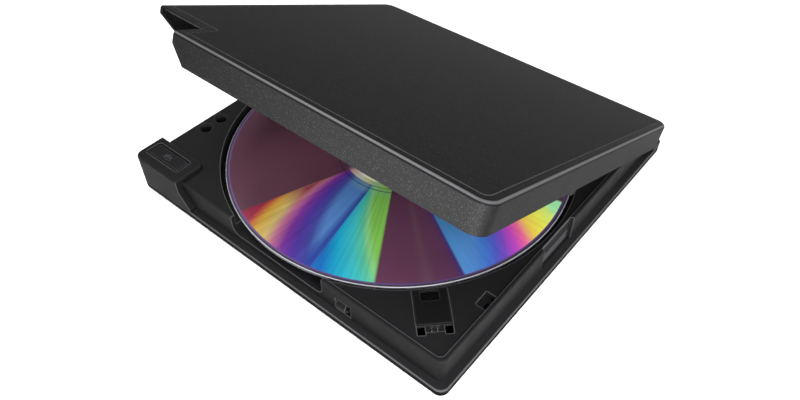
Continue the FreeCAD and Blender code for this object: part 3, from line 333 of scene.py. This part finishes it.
def skirt_lacquer(name):
    """Flaked front and back of the lid, a plainer top, ends made plainer and darker as painted shade, and
    a painted highlight on the rounding between them.
    """
    look = settings().drive_lid
    shades = Shades(name)
    shader = shades.surface(look.skirt_colour, 0.42, Specular_IOR_Level=0.012)
    colour, metal_share, tilt = flaked(shades, look.skirt_colour, 0.08, 1.0)
    facing = shades.node("ShaderNodeTexCoord").outputs["Normal"]
    upward = shades.node("ShaderNodeVectorMath", operation="DOT_PRODUCT")
    shades.link(facing, upward.inputs[0])
    upward.inputs[1].default_value = LID_UP
    slope = upward.outputs["Value"]
    colour = shades.blend(shades.fade(slope, *TOP_BEGINS), colour, look.colour)
    # Painted shade: the ends facing along X are made darker.
    sideways = shades.combine("ABSOLUTE", shades.parts(facing)["X"])
    colour = shades.blend(shades.fade(sideways, *ENDS_BEGIN, 0.85), colour, look.colour)
    # Stands in for the photo's light, which leaves the left end of the front darker; the lacquer
    # itself is even on the real lid.
    along = shades.parts(shades.place())["X"]
    colour = shades.blend(shades.fade(along, *DARKENING_ALONG, 0.7), colour, look.colour)
    # The rounding's lighter colour and extra metal are a painted highlight.
    rounding = shades.times(shades.fade(slope, *ROUNDING_BEGINS), shades.fade(slope, *ROUNDING_ENDS))
    colour = shades.blend(rounding, colour, look.edge_highlight_colour)
    metal_share = shades.combine("MAXIMUM", metal_share, shades.fade(rounding, 0.0, 1.0, ROUNDING_METAL))
    return lacquered(shades, shader, colour, metal_share, tilt)


def panel_lacquer(name):
    """The top panel's lacquer, with few faint flakes and a painted highlight on its chamfer."""
    look = settings().drive_lid
    shades = Shades(name)
    shader = shades.surface(look.colour, 0.46, Specular_IOR_Level=0.01)
    colour, metal_share, tilt = flaked(shades, look.colour, 0.05, 0.25)
    # The chamfer's lighter colour is a painted highlight.
    colour = shades.blend(shades.edges(look.chamfer_width), colour, look.chamfer_highlight_colour)
    return lacquered(shades, shader, colour, metal_share, tilt)


def polished_black(name):
    look = settings().drive_case
    shades = Shades(name)
    shader = shades.surface(look.liner_colour, 0.10, IOR=1.5)
    shades.rounded(shader, look.edge, shades.noise(6 * MM), strength=0.15, distance=0.03 * MM)
    return shades.material


def plain_plastic(name, colour, roughness):
    shades = Shades(name)
    shader = shades.surface(colour, roughness, IOR=1.5)
    fine = shades.noise(0.3 * MM)
    darker = [value * 0.82 for value in colour]
    shades.link(shades.blend(shades.noise(4 * MM), darker, colour), shader.inputs["Base Color"])
    shades.rounded(shader, 0.15 * MM, fine, strength=0.25, distance=0.02 * MM)
    return shades.material


def rubber(name, colour):
    shades = Shades(name)
    shader = shades.surface(colour, 0.85, IOR=1.5)
    worn = [value * 2.2 for value in colour]
    shades.link(shades.blend(shades.fade(shades.noise(1.5 * MM), 0.45, 0.75, 0.6), colour, worn),
                shader.inputs["Base Color"])
    shades.rounded(shader, 0.2 * MM, shades.noise(0.2 * MM), strength=0.5, distance=0.04 * MM)
    return shades.material


def metal(name, colour, roughness):
    shades = Shades(name)
    shader = shades.surface(colour, roughness, Metallic=1.0)
    streaks = shades.noise(0.4 * MM)
    shades.link(shades.spread(streaks, 0.3, 0.7, roughness - 0.08, roughness + 0.12),
                shader.inputs["Roughness"])
    shades.rounded(shader, 0.12 * MM, streaks, strength=0.2, distance=0.01 * MM)
    return shades.material


def board_green(name):
    shades = Shades(name)
    shader = shades.surface((0.006, 0.060, 0.022), 0.35, IOR=1.5)
    tracks = shades.node("ShaderNodeTexBrick")
    tracks.inputs["Scale"].default_value = 1.0 / (3 * MM)
    tracks.inputs["Mortar Size"].default_value = 0.06
    tracks.inputs["Color1"].default_value = (0.005, 0.055, 0.020, 1.0)
    tracks.inputs["Color2"].default_value = (0.004, 0.045, 0.016, 1.0)
    tracks.inputs["Mortar"].default_value = (0.016, 0.130, 0.045, 1.0)
    shades.link(shades.place(), tracks.inputs["Vector"])
    shades.link(tracks.outputs["Color"], shader.inputs["Base Color"])
    shades.rounded(shader, 0.1 * MM, tracks.outputs["Fac"], strength=0.3, distance=0.02 * MM)
    return shades.material


def lens_glass(name):
    shades = Shades(name)
    shader = shades.surface((0.25, 0.12, 0.42), 0.03, IOR=1.6)
    shader.inputs["Coat Weight"].default_value = 1.0
    shades.link(shades.blend(shades.noise(1 * MM), (0.12, 0.08, 0.40), (0.30, 0.10, 0.42)),
                shader.inputs["Base Color"])
    return shades.material


def dress(material, *nodes):
    """Gives the material to the named CAD nodes."""
    for node in nodes:
        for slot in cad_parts[node].material_slots:
            slot.material = material


def finish_mesh(name, material, slot, body, *replaced):
    """Finishes the piece in hand: its name, material and place, the nodes it replaces and its body."""
    piece = bpy.context.object
    piece.name = piece.data.name = name
    piece.data.materials.clear()
    piece.data.materials.append(material)
    clear_selection()
    piece.select_set(True)
    bpy.context.view_layer.objects.active = piece
    bpy.ops.object.transform_apply(location=True, rotation=True, scale=True)
    bpy.ops.object.shade_smooth_by_angle(angle=SMOOTH_ANGLE)
    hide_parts(*replaced)
    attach(piece, body)


def turned(profile, centre, steps):
    """A ring whose section is the profile, points of radius and height, turned about +Z at the centre."""
    clear_selection()
    bpy.ops.mesh.primitive_circle_add(vertices=len(profile), radius=1.0, location=(0, 0, 0))
    mesh = bpy.context.object.data
    for vertex, (radius, height) in zip(mesh.vertices, profile):
        vertex.co = (centre.x + radius, centre.y, height)
    bpy.ops.object.mode_set(mode="EDIT")
    bpy.ops.mesh.select_all(action="SELECT")
    bpy.ops.mesh.spin(steps=steps, angle=2 * math.pi, center=(centre.x, centre.y, 0.0), axis=(0, 0, 1))
    bpy.ops.mesh.select_all(action="SELECT")
    bpy.ops.mesh.remove_doubles(threshold=MERGE_DISTANCE)
    bpy.ops.mesh.normals_make_consistent(inside=False)
    bpy.ops.object.mode_set(mode="OBJECT")


class DRIVE_OT_case(bpy.types.Operator):
    """Textured case, its rubber feet and its screws"""
    bl_idname = "drive.case"
    bl_label = "Case"

    def execute(self, context):
        dress(moulded_black("case_black"), "base_frame")
        dress(moulded_black("cover_black", roughness=0.6, lift=0.4, gloss=0.02, highlight=0.08),
              "bottom_cover")
        dress(moulded_black("corner_black", roughness=0.42, lift=0.6, gloss=0.03, highlight=0.3),
              "corner_cover")
        dress(metal("screw_black", (0.02, 0.02, 0.021), 0.35), "case_screws", "deck_screws")
        dress(rubber("foot_rubber", (0.008, 0.008, 0.008)), "rubber_feet")
        return {"FINISHED"}


class DRIVE_OT_lid(bpy.types.Operator):
    """Lacquered lid with its liner and hinge pins"""
    bl_idname = "drive.lid"
    bl_label = "Lid"

    def execute(self, context):
        dress(skirt_lacquer("lid_flake"), "lid_shell")
        dress(panel_lacquer("panel_satin"), "lid_top_panel")
        dress(polished_black("liner_gloss"), "lid_liner")
        dress(metal("pin_steel", (0.56, 0.56, 0.57), 0.25), "hinge_pins")
        return {"FINISHED"}


class DRIVE_OT_controls(bpy.types.Operator):
    """Open button, latch and lid switch"""
    bl_idname = "drive.controls"
    bl_label = "Button and Latch"

    def execute(self, context):
        dress(moulded_black("button_satin", roughness=0.30, lift=1.2), "open_button")
        dress(moulded_black("plunger_black", lift=0.3, gloss=0.01, highlight=0.1), "lid_switch_plunger")
        dress(moulded_black("latch_black", roughness=0.4, lift=1.2), "latch_slider")
        dress(plain_plastic("natural_white", (0.62, 0.60, 0.55), 0.4), "hinge_bushes")
        dress(moulded_black("switch_black", roughness=0.6, lift=0.3, gloss=0.01, highlight=0.1),
              "lid_switch_body")
        dress(metal("contact_bright", (0.72, 0.70, 0.64), 0.2), "switch_contacts")
        dress(metal("spring_steel", (0.45, 0.45, 0.46), 0.25), "button_spring")
        return {"FINISHED"}


# The disc's section as points of radius and height from its middle plane, in millimetres.
DISC_PROFILE = (
    (7.50, -0.45), (7.65, -0.60), (16.40, -0.60), (16.60, -0.72), (17.60, -0.72), (17.80, -0.60),
    (59.80, -0.60), (60.00, -0.42), (60.00, -0.05), (59.93, 0.00), (60.00, 0.05), (60.00, 0.42),
    (59.80, 0.60), (17.80, 0.60), (17.60, 0.50), (17.20, 0.50), (17.00, 0.60), (7.65, 0.60),
    (7.50, 0.45))
DISC_STEPS = 256
# Radii where one ring of the disc gives way to the next, in millimetres.
DISC_RADIUS = 60.0
CLEAR_HUB = 16.4
STACK_RING = 18.0
MIRROR_END = 19.5
FIRST_TRACK = 21.15
RECORDED_END = 58.5
BONDED_END = 58.9
EDGE_START = 59.75
EDGE_SIDE = 59.97
EDGE_HALF = 0.38

# Angles about the spindle, in degrees, where one band of colours gives way to the next.
WARM_START = -110.5
COOL_START = -77.5
NEAR_START = -57.5
FAR_START = -31.0
FAR_END = 14.0
BACK_START = 62.0
BACK_END = 104.0
BAND_EDGE = 0.4
# Radius about which the bands lean.
LEAN_RADIUS = 50.0
# Fine rays to a degree.
RAYS_PER_DEGREE = 0.55
# Radii and angles between which the crimson and the pale green patch come in.
CRIMSON_RADII = (46.0, 36.0)
CRIMSON_ANGLES = (-97.0, -100.0)
PALE_RADII = (24.5, 21.5)
PALE_ANGLES = (-104.0, -84.0)
# Radius where painted shade begins to darken the bands towards the rim.
DARKENING_START = 26.0
# Fixed bands of painted reflection that stand in for diffraction, so they don't move with the viewer.
# Each has its start and end angle, how much of the lean it takes and which way, how deep its fine
# rays are, then its stops, set to match the photo.
NEAR_BAND = (NEAR_START, FAR_START, 0.0, 0.0, (
    (0.00, (0.176, 0.062, 0.125)), (0.48, (0.176, 0.062, 0.125)), (0.58, (0.190, 0.090, 0.140)),
    (0.68, (0.176, 0.062, 0.125)), (0.92, (0.165, 0.058, 0.150)), (1.00, (0.080, 0.050, 0.330))))
WARM_BAND = (WARM_START, COOL_START, 1.0, 0.16, (
    (0.00, (0.40, 0.03, 0.08)), (0.05, (0.65, 0.12, 0.06)), (0.14, (0.80, 0.48, 0.06)),
    (0.28, (0.82, 0.62, 0.20)), (0.40, (0.66, 0.19, 0.38)), (0.52, (0.26, 0.048, 0.42)),
    (0.66, (0.115, 0.052, 0.46)), (0.80, (0.085, 0.095, 0.48)), (0.94, (0.13, 0.33, 0.80))))
COOL_BAND = (COOL_START, NEAR_START, 0.8, 0.12, (
    (0.00, (0.020, 0.22, 0.70)), (0.25, (0.020, 0.54, 0.84)), (0.55, (0.075, 0.74, 0.78)),
    (0.74, (0.15, 0.80, 0.50)), (0.86, (0.36, 0.92, 0.36)), (1.00, (0.34, 0.86, 0.14))))
FAR_BAND = (FAR_START, FAR_END, -1.0, 0.08, (
    (0.00, (0.08, 0.29, 0.64)), (0.08, (0.09, 0.28, 0.64)), (0.18, (0.09, 0.25, 0.62)),
    (0.26, (0.06, 0.20, 0.64)), (0.35, (0.085, 0.11, 0.58)), (0.43, (0.22, 0.075, 0.56)),
    (0.52, (0.60, 0.075, 0.58)), (0.61, (0.95, 0.16, 0.36)), (0.70, (1.00, 0.72, 0.10)),
    (0.82, (1.00, 0.98, 0.12)), (0.93, (0.78, 1.00, 0.22)), (1.00, (0.42, 1.00, 0.50))))
BACK_BAND = (BACK_START, BACK_END, 1.0, 0.16, (
    (0.00, (0.090, 0.56, 0.28)), (0.22, (0.050, 0.56, 0.50)), (0.42, (0.014, 0.40, 0.62)),
    (0.58, (0.056, 0.10, 0.42)), (0.74, (0.20, 0.042, 0.33)), (0.88, (0.52, 0.16, 0.28)),
    (1.00, (0.62, 0.42, 0.08))))
MIRROR_STOPS = (
    (0.00, (0.45, 0.08, 0.25)), (0.18, (0.85, 0.60, 0.55)), (0.34, (0.95, 0.95, 0.85)),
    (0.52, (0.95, 0.98, 0.60)), (0.72, (0.50, 0.85, 0.45)), (0.88, (0.55, 0.95, 0.20)),
    (1.00, (0.25, 0.60, 0.08)))
BLACK = (0.0, 0.0, 0.0)
WHITE = (1.0, 1.0, 1.0)


class DiscShades(Shades):
    """The disc's nodes, which all work from the radius and the angle about the spindle."""

    def __init__(self, name):
        super().__init__(name)
        place = self.parts(self.place())
        east = self.minus(place["X"], SPINDLE.x)
        north = self.minus(place["Y"], SPINDLE.y)
        self.level = self.combine("ABSOLUTE", self.minus(place["Z"], DISC_MIDDLE))
        squares = self.combine("ADD", self.combine("POWER", east, 2.0), self.combine("POWER", north, 2.0))
        self.radius = self.combine("DIVIDE", self.combine("SQRT", squares), MM)
        self.angle = self.times(self.combine("ARCTAN2", north, east), 180 / math.pi)
        self.lean = self.times(self.minus(self.radius, LEAN_RADIUS), settings().drive_disc.lean)
        streaks = self.node("ShaderNodeTexNoise", noise_dimensions="1D")
        streaks.inputs["Scale"].default_value = RAYS_PER_DEGREE
        streaks.inputs["Detail"].default_value = 3.0
        self.link(self.angle, streaks.inputs["W"])
        self.rays = self.fade(streaks.outputs["Fac"], 0.42, 0.62)

    def from_angle(self, start, softness=BAND_EDGE):
        return self.fade(self.angle, start - softness, start + softness)

    def up_to_angle(self, end, softness=BAND_EDGE):
        return self.fade(self.angle, end + softness, end - softness)

    def banded(self, ground, start, end, way, depth, stops):
        """The ground with a band of spread colours laid over it."""
        leaning = self.minus(self.angle, self.times(self.lean, way))
        colours = self.ramp(self.fade(leaning, start, end), stops)
        inside = self.times(self.from_angle(start), self.up_to_angle(end))
        shaded = self.blend(depth, colours, BLACK)
        return self.blend(inside, ground, self.blend(self.rays, colours, shaded))

    def recorded(self):
        """The recording layer with its bands of spread colours, a painted reflection standing in for
        diffraction.
        """
        look = settings().drive_disc
        darker = [value * 0.85 for value in look.colour]
        colour = self.blend(self.fade(self.noise(30 * MM), 0.3, 0.7), darker, look.colour)
        for band in (NEAR_BAND, WARM_BAND, COOL_BAND, BACK_BAND):
            colour = self.banded(colour, *band)
        # A deep blue line parts the warm band from the cool one.
        border = self.times(self.fade(self.angle, COOL_START - 4.1, COOL_START - 1.4, 0.85),
                            self.up_to_angle(COOL_START, 0.2))
        colour = self.blend(border, colour, (0.035, 0.065, 0.44))
        # The warm band turns crimson towards the hub.
        ember = self.times(self.fade(self.radius, *CRIMSON_RADII), self.from_angle(WARM_START),
                           self.fade(self.minus(self.angle, self.lean), *CRIMSON_ANGLES))
        colour = self.blend(ember, colour, (0.36, 0.055, 0.11))
        # Near the hub the colours run together into a pale green.
        pale = self.times(self.fade(self.radius, *PALE_RADII), self.fade(self.angle, *PALE_ANGLES),
                          self.up_to_angle(NEAR_START), 0.25)
        colour = self.blend(pale, colour, (0.5, 0.95, 0.60))
        # Painted shade: the colours darken towards the rim.
        colour = self.blend(self.fade(self.radius, DARKENING_START, LEAN_RADIUS, 0.42), colour, BLACK)
        colour = self.banded(colour, *FAR_BAND)
        track = self.times(self.fade(self.radius, FIRST_TRACK - 0.25, FIRST_TRACK - 0.10, 0.75),
                           self.fade(self.radius, FIRST_TRACK + 0.25, FIRST_TRACK + 0.10))
        return self.blend(track, colour, (0.01, 0.01, 0.06))

    def rings(self, *rings):
        """Plain rings, each of a colour and the radius where it starts."""
        stops = [(start / DISC_RADIUS, colour) for start, colour in rings]
        return self.ramp(self.fade(self.radius, 0.0, DISC_RADIUS), stops, "CONSTANT")


def disc_layer(name):
    """Rings from the hub outwards: clear hub, stack ring, mirror band, recording layer, clear rim."""
    shades = DiscShades(name)
    shader = shades.surface(settings().drive_disc.colour, 0.30, Specular_IOR_Level=0.3)
    # The pale ring from EDGE_START to the rim is a painted highlight on the rim's chamfers.
    plain = shades.rings(
        (0.0, (0.42, 0.42, 0.43)), (CLEAR_HUB, (0.20, 0.18, 0.20)), (STACK_RING, (0.10, 0.06, 0.10)),
        (MIRROR_END, (0.05, 0.02, 0.04)), (RECORDED_END, (0.11, 0.06, 0.20)),
        (BONDED_END, (0.045, 0.038, 0.055)), (EDGE_START, (0.42, 0.41, 0.46)))
    side = shades.times(shades.combine("GREATER_THAN", shades.radius, EDGE_SIDE),
                        shades.combine("LESS_THAN", shades.level, EDGE_HALF * MM))
    plain = shades.blend(side, plain, (0.02, 0.02, 0.025))
    recorded = shades.rings((0.0, BLACK), (MIRROR_END, WHITE), (RECORDED_END, BLACK))
    finished = shades.blend(recorded, plain, shades.recorded())
    # The mirror band gets a painted sheen of spread colours, paler than on the recording layer.
    mirror = shades.times(
        shades.fade(shades.radius, CLEAR_HUB, CLEAR_HUB + 0.6),
        shades.fade(shades.radius, MIRROR_END + 0.2, MIRROR_END - 0.2),
        shades.from_angle(WARM_START - 1.5, 4.0), shades.up_to_angle(NEAR_START))
    sheen = shades.ramp(shades.fade(shades.angle, WARM_START - 5.5, NEAR_START), MIRROR_STOPS)
    shades.link(shades.blend(mirror, finished, sheen), shader.inputs["Base Color"])
    return shades.material


class DRIVE_OT_disc(bpy.types.Operator):
    """Disc with its hub ring, mirror band, recording layer and clear rim"""
    bl_idname = "drive.disc"
    bl_label = "Disc"

    def execute(self, context):
        turned([(radius * MM, DISC_MIDDLE + height * MM) for radius, height in DISC_PROFILE], SPINDLE,
               DISC_STEPS)
        finish_mesh("disc_layers", disc_layer("disc_layer"), "disc_surface", "spindle", "disc")
        return {"FINISHED"}


class DRIVE_OT_mechanism(bpy.types.Operator):
    """Spindle motor, pickup and the drive that moves it"""
    bl_idname = "drive.mechanism"
    bl_label = "Mechanism"

    def execute(self, context):
        dress(metal("chassis_steel", (0.50, 0.50, 0.51), 0.35), "traverse_chassis", "motor_base")
        dress(metal("rotor_steel", (0.56, 0.56, 0.57), 0.22), "motor_rotor", "stepper_motor")
        dress(metal("rod_steel", (0.60, 0.60, 0.61), 0.12),
              "guide_rod_main", "guide_rod_plain", "lead_screw")
        dress(metal("coil_copper", (0.60, 0.22, 0.07), 0.35), "motor_stator")
        dress(plain_plastic("hub_white", (0.60, 0.60, 0.60), 0.35), "turntable")
        dress(rubber("mat_rubber", (0.012, 0.012, 0.012)), "turntable_mat")
        dress(rubber("grommet_rubber", (0.02, 0.02, 0.022)), "chassis_grommets")
        dress(metal("chassis_screw", (0.03, 0.03, 0.03), 0.35), "chassis_screws")
        dress(metal("sled_cast", (0.42, 0.42, 0.43), 0.45), "pickup_sled", "actuator_yoke")
        dress(plain_plastic("nut_grey", (0.05, 0.05, 0.052), 0.4), "sled_nut")
        dress(plain_plastic("holder_black", (0.012, 0.012, 0.012), 0.4), "lens_holder")
        dress(lens_glass("lens_coated"), "objective_lenses")
        return {"FINISHED"}


class DRIVE_OT_electronics(bpy.types.Operator):
    """Main board, its chips and screws, the socket and the flat cable"""
    bl_idname = "drive.electronics"
    bl_label = "Electronics"

    def execute(self, context):
        dress(board_green("board_mask"), "main_board")
        dress(plain_plastic("chip_black", (0.010, 0.010, 0.010), 0.5), "board_chips")
        dress(metal("board_screw", (0.35, 0.35, 0.35), 0.3), "board_screws")
        dress(metal("socket_shell", (0.66, 0.66, 0.66), 0.2), "usb_receptacle")
        dress(plain_plastic("ribbon_amber", (0.42, 0.16, 0.025), 0.25), "motor_flex")
        return {"FINISHED"}


# Floor and clipping in metres, the camera's frame in millimetres.
FLOOR_SIZE = 6.0
SENSOR_WIDTH = 36.0
CLIP_START = 0.01
# Name, place and size in metres, power in watts.
LAMPS = (
    ("soft_over", (-0.24, -0.07, 0.50), (0.42, 0.20), 2.8),
    ("soft_back", (0.20, 0.40, 0.48), (0.30, 0.14), 1.1),
    ("soft_front", (0.17, -0.15, 0.17), (0.16, 0.10), 0.62),
    ("soft_horizon", (0.12, 0.75, 0.16), (0.40, 0.12), 0.2),
    ("soft_low", (0.36, -0.14, 0.10), (0.25, 0.10), 0.8))


def light(name, place, size, power):
    clear_selection()
    bpy.ops.object.light_add(type="AREA", location=place)
    lamp = bpy.context.object
    lamp.name = lamp.data.name = name
    lamp.data.shape = "RECTANGLE"
    lamp.data.size, lamp.data.size_y = size
    lamp.data.energy = power
    lamp.rotation_euler = Vector(place).to_track_quat("Z", "Y").to_euler()


def camera_matrix(look):
    yaw, pitch, roll = look.camera_yaw, look.camera_pitch, look.camera_roll
    forward = Vector((math.sin(yaw) * math.cos(pitch), math.cos(yaw) * math.cos(pitch), -math.sin(pitch)))
    level = Vector((math.cos(yaw), -math.sin(yaw), 0.0))
    over = level.cross(forward)
    right = level * math.cos(roll) + over * math.sin(roll)
    up = over * math.cos(roll) - level * math.sin(roll)
    turn = Matrix((right, up, -forward)).transposed().to_4x4()
    return Matrix.Translation(look.camera_place) @ turn


def studio_floor(look):
    clear_selection()
    bpy.ops.mesh.primitive_plane_add(size=FLOOR_SIZE, location=(0, 0, LOADED_BOX[0][2]))
    floor = bpy.context.object
    floor.name = floor.data.name = "studio_floor"
    shades = Shades("studio_white")
    shader = shades.surface(look.floor_colour, 0.9, Specular_IOR_Level=0.0)
    shader.inputs["Emission Color"].default_value = (*WHITE, 1.0)
    rays = shades.node("ShaderNodeLightPath").outputs
    mirrored = shades.combine("MAXIMUM", rays["Is Glossy Ray"], rays["Is Transmission Ray"])
    seen = shades.combine("MAXIMUM", rays["Is Camera Ray"], mirrored)
    shades.link(shades.times(seen, look.floor_glow), shader.inputs["Emission Strength"])
    floor.data.materials.append(shades.material)


def studio_sky(look):
    """White where the camera sees it, a dim ceiling in mirrors and a soft light on the rest."""
    shades = Shades("studio_sky", "worlds", "ShaderNodeOutputWorld")
    backdrop = shades.node("ShaderNodeBackground")
    backdrop.inputs["Color"].default_value = (*WHITE, 1.0)
    shades.link(backdrop.outputs["Background"], shades.output.inputs["Surface"])
    direction = shades.parts(shades.node("ShaderNodeTexCoord").outputs["Generated"])
    # White backdrop up to a little over the horizon, then the ceiling.
    mirrored = shades.spread(direction["Z"], 0.0, 0.35, 1.0, look.ceiling)
    # The front of the studio is dimmer than the rest.
    soft = shades.spread(direction["Y"], -0.8, 0.2, look.sky * 0.25, look.sky)
    rays = shades.node("ShaderNodeLightPath").outputs
    strength = shades.spread(rays["Is Glossy Ray"], 0.0, 1.0, soft, mirrored)
    seen = shades.combine("MAXIMUM", rays["Is Camera Ray"], rays["Is Transmission Ray"])
    shades.link(shades.spread(seen, 0.0, 1.0, strength, 1.0), backdrop.inputs["Strength"])
    return shades.material


def studio_camera(look):
    bpy.ops.object.camera_add()
    camera = bpy.context.object
    camera.name = camera.data.name = "studio_camera"
    camera.matrix_world = camera_matrix(look)
    camera.data.sensor_width = SENSOR_WIDTH
    camera.data.lens = look.camera_lens
    camera.data.clip_start = CLIP_START
    return camera


class DRIVE_OT_stage(bpy.types.Operator):
    """Pale floor, soft lights and the camera"""
    bl_idname = "drive.stage"
    bl_label = "Studio"

    def execute(self, context):
        look = settings().drive_studio
        studio_floor(look)
        for lamp in LAMPS:
            light(*lamp)
        settings().world = studio_sky(look)
        settings().camera = studio_camera(look)
        settings().view_settings.view_transform = "Standard"
        return {"FINISHED"}


class DRIVE_PT_panel(bpy.types.Panel):
    bl_label = "Disc Drive"
    bl_idname = "DRIVE_PT_panel"
    bl_space_type = "VIEW_3D"
    bl_region_type = "UI"
    bl_category = "Disc Drive"

    def draw(self, context):
        for operator in OPERATORS:
            self.layout.operator(operator.bl_idname)
        for name, group in GROUPS.items():
            box = self.layout.box()
            values = getattr(context.scene, name)
            for key in group.__annotations__:
                box.prop(values, key)


GROUPS = {
    "drive_case": DriveCase, "drive_lid": DriveLid, "drive_disc": DriveDisc, "drive_studio": DriveStudio}
OPERATORS = (
    DRIVE_OT_case, DRIVE_OT_lid, DRIVE_OT_controls, DRIVE_OT_disc, DRIVE_OT_mechanism,
    DRIVE_OT_electronics, DRIVE_OT_stage)


def register():
    for group in (*GROUPS.values(), *OPERATORS, DRIVE_PT_panel):
        bpy.utils.register_class(group)
    for name, group in GROUPS.items():
        setattr(bpy.types.Scene, name, bpy.props.PointerProperty(type=group))


def unregister():
    for name in GROUPS:
        delattr(bpy.types.Scene, name)
    for group in (*GROUPS.values(), *OPERATORS, DRIVE_PT_panel):
        bpy.utils.unregister_class(group)


def main():
    register()
    for operator in OPERATORS:
        package, name = operator.bl_idname.split(".")
        getattr(getattr(bpy.ops, package), name)()


if __name__ == "__main__":
    main()
